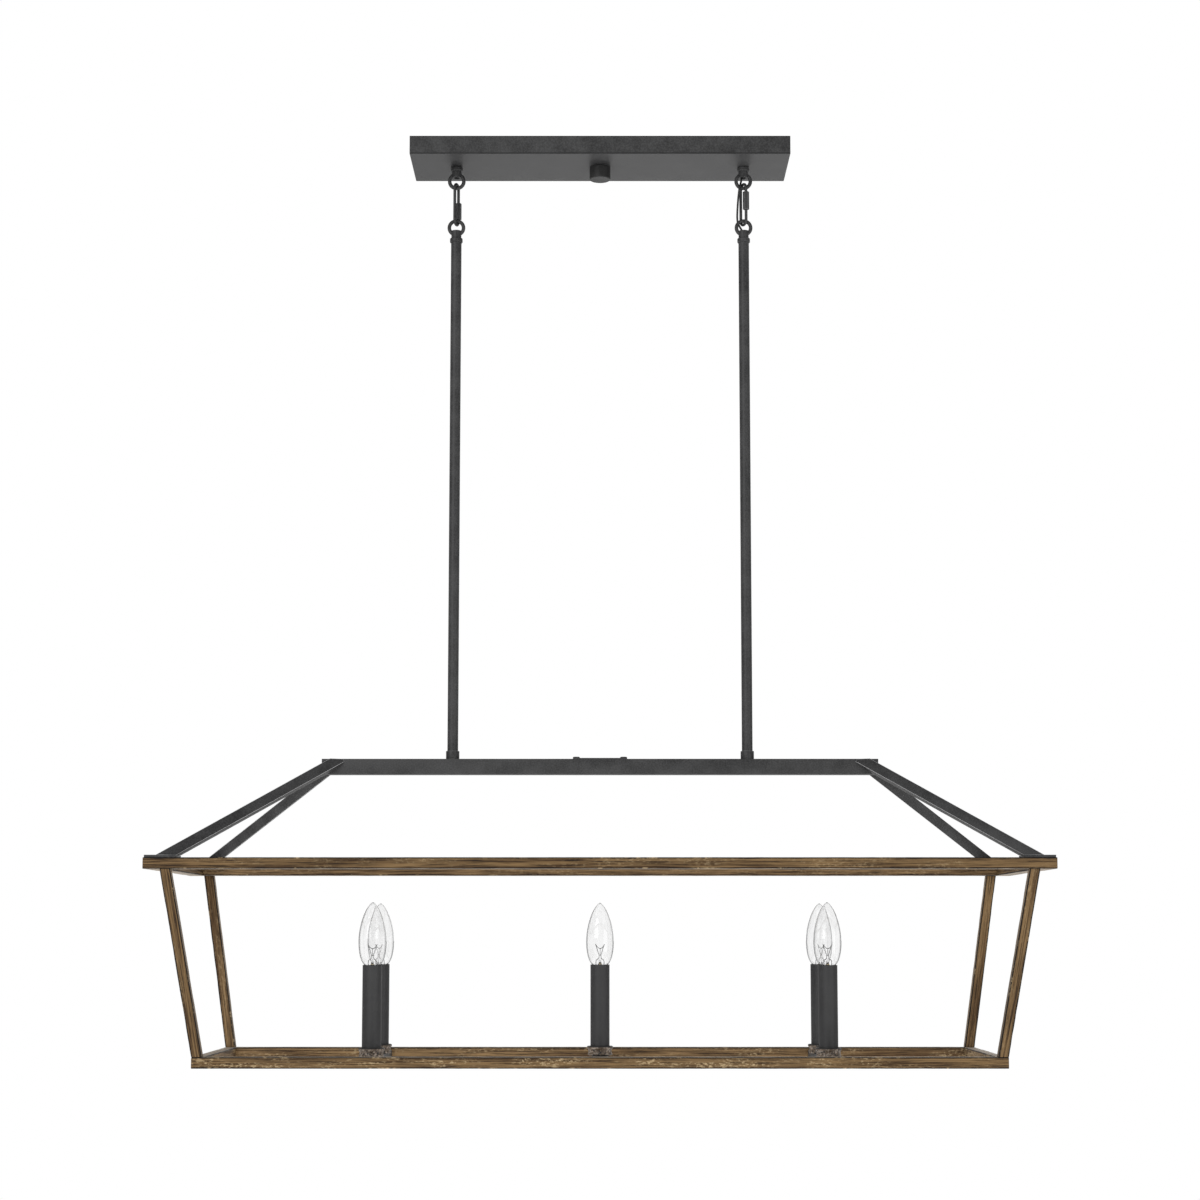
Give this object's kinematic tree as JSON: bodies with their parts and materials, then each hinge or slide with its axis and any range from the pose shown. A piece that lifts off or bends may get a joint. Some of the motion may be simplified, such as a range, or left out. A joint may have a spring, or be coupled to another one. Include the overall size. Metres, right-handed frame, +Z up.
{
  "type": "linear island pendant lamp",
  "caption": "Linear hanging lamp: a tapered open cage of wood-finished tube under a ridge bar with sloping hip bars, candle lamps inside, two stems on links and a long canopy.",
  "frame": {"origin": "centre of the two ceiling screw holes, in the plane of the ceiling", "axes": "+Z up into the ceiling, +X along the lamp to the right seen from the front, -Y to the front"},
  "size_m": [1.016, 0.3048, 1.097],
  "materials": {
    "dark_iron": "fine mottled matt dark iron",
    "wood_finish": "brown wood-grain finish on steel tube",
    "plain_steel": "zinc plated",
    "wood_cup": "brown wood-grain finish with a dark rim",
    "sleeve": "matt dark grey",
    "brass": "plain",
    "phenolic": "moulded",
    "wire": "insulation",
    "connector": "moulded",
    "bulb_glass": "clear",
    "bulb_base": "plain"
  },
  "bodies": {
    "canopy": {"mounting_strap": "plain_steel", "canopy_stud": "plain_steel", "strap_hardware": "plain_steel", "canopy_pan": "dark_iron", "canopy_loop_left": "dark_iron", "canopy_loop_right": "dark_iron", "loop_nuts": "plain_steel", "wire_connectors": "connector", "canopy_lead": "wire", "lead_cord": "wire"},
    "knob": {"canopy_knob": "dark_iron"},
    "link_right": {"quick_link_right": "dark_iron"},
    "link_left": {"quick_link_left": "dark_iron"},
    "nut_right": {"link_nut_right": "dark_iron"},
    "nut_left": {"link_nut_left": "dark_iron"},
    "pendant": {"socket_nipples": "plain_steel", "nipple_nuts": "plain_steel", "stem_loop_left": "dark_iron", "stem_loop_right": "dark_iron", "stem_left": "dark_iron", "stem_right": "dark_iron", "stem_couplings": "dark_iron", "ridge_bar": "dark_iron", "ridge_cover": "dark_iron", "cover_screws": "dark_iron", "corner_plates": "dark_iron", "hip_bar_front_left": "dark_iron", "hip_bar_front_right": "dark_iron", "hip_bar_back_left": "dark_iron", "hip_bar_back_right": "dark_iron", "cross_channel_left": "dark_iron", "cross_channel_middle": "dark_iron", "cross_channel_right": "dark_iron", "top_rail_front": "wood_finish", "top_rail_back": "wood_finish", "top_rail_left": "wood_finish", "top_rail_right": "wood_finish", "leg_front_left": "wood_finish", "leg_front_right": "wood_finish", "leg_back_left": "wood_finish", "leg_back_right": "wood_finish", "bottom_rail_front": "wood_finish", "bottom_rail_back": "wood_finish", "bottom_rail_left": "wood_finish", "bottom_rail_right": "wood_finish", "candle_cups": "wood_cup", "candle_sleeves": "sleeve", "sockets": "phenolic", "socket_contacts": "brass", "pendant_wires": "wire"},
    "lamp_front_right": {"bulb_glass_front_right": "bulb_glass", "bulb_base_front_right": "bulb_base"},
    "lamp_back_right": {"bulb_glass_back_right": "bulb_glass", "bulb_base_back_right": "bulb_base"},
    "lamp_middle": {"bulb_glass_middle": "bulb_glass", "bulb_base_middle": "bulb_base"},
    "lamp_front_left": {"bulb_glass_front_left": "bulb_glass", "bulb_base_front_left": "bulb_base"},
    "lamp_back_left": {"bulb_glass_back_left": "bulb_glass", "bulb_base_back_left": "bulb_base"}
  },
  "joints": [
    {"name": "swing_top_right", "type": "hinge", "parent": "canopy", "child": "link_right", "pos_m": [0.174, 0, -0.0479], "axis": [1, 0, 0], "range_deg": [-20, 20], "deforming": ["lead_cord"]},
    {"name": "swing_top_left", "type": "hinge", "parent": "canopy", "child": "link_left", "pos_m": [-0.174, 0, -0.0479], "axis": [1, 0, 0], "range_deg": [-20, 20]},
    {"name": "swing_low", "type": "hinge", "parent": "link_right", "child": "pendant", "pos_m": [0.174, 0, -0.08875], "axis": [1, 0, 0], "range_deg": [-20, 20], "deforming": ["lead_cord"]},
    {"name": "nut_right_slide", "type": "slide", "parent": "link_right", "child": "nut_right", "axis": [0, 0, -1], "range_m": [0, 0.0105]},
    {"name": "nut_left_slide", "type": "slide", "parent": "link_left", "child": "nut_left", "axis": [0, 0, 1], "range_m": [0, 0.015]},
    {"name": "knob_slide", "type": "slide", "parent": "canopy", "child": "knob", "axis": [0, 0, -1], "range_m": [0, 0.0095]},
    {"name": "lamp_front_right_out", "type": "slide", "parent": "pendant", "child": "lamp_front_right", "axis": [0, 0, 1], "range_m": [0, 0.026]},
    {"name": "lamp_back_right_out", "type": "slide", "parent": "pendant", "child": "lamp_back_right", "axis": [0, 0, 1], "range_m": [0, 0.026]},
    {"name": "lamp_middle_out", "type": "slide", "parent": "pendant", "child": "lamp_middle", "axis": [0, 0, 1], "range_m": [0, 0.026]},
    {"name": "lamp_front_left_out", "type": "slide", "parent": "pendant", "child": "lamp_front_left", "axis": [0, 0, 1], "range_m": [0, 0.026]},
    {"name": "lamp_back_left_out", "type": "slide", "parent": "pendant", "child": "lamp_back_left", "axis": [0, 0, 1], "range_m": [0, 0.026]}
  ],
  "couplings": [
    {"joint": "swing_top_left", "follows": "swing_top_right", "ratio": 1}
  ]
}
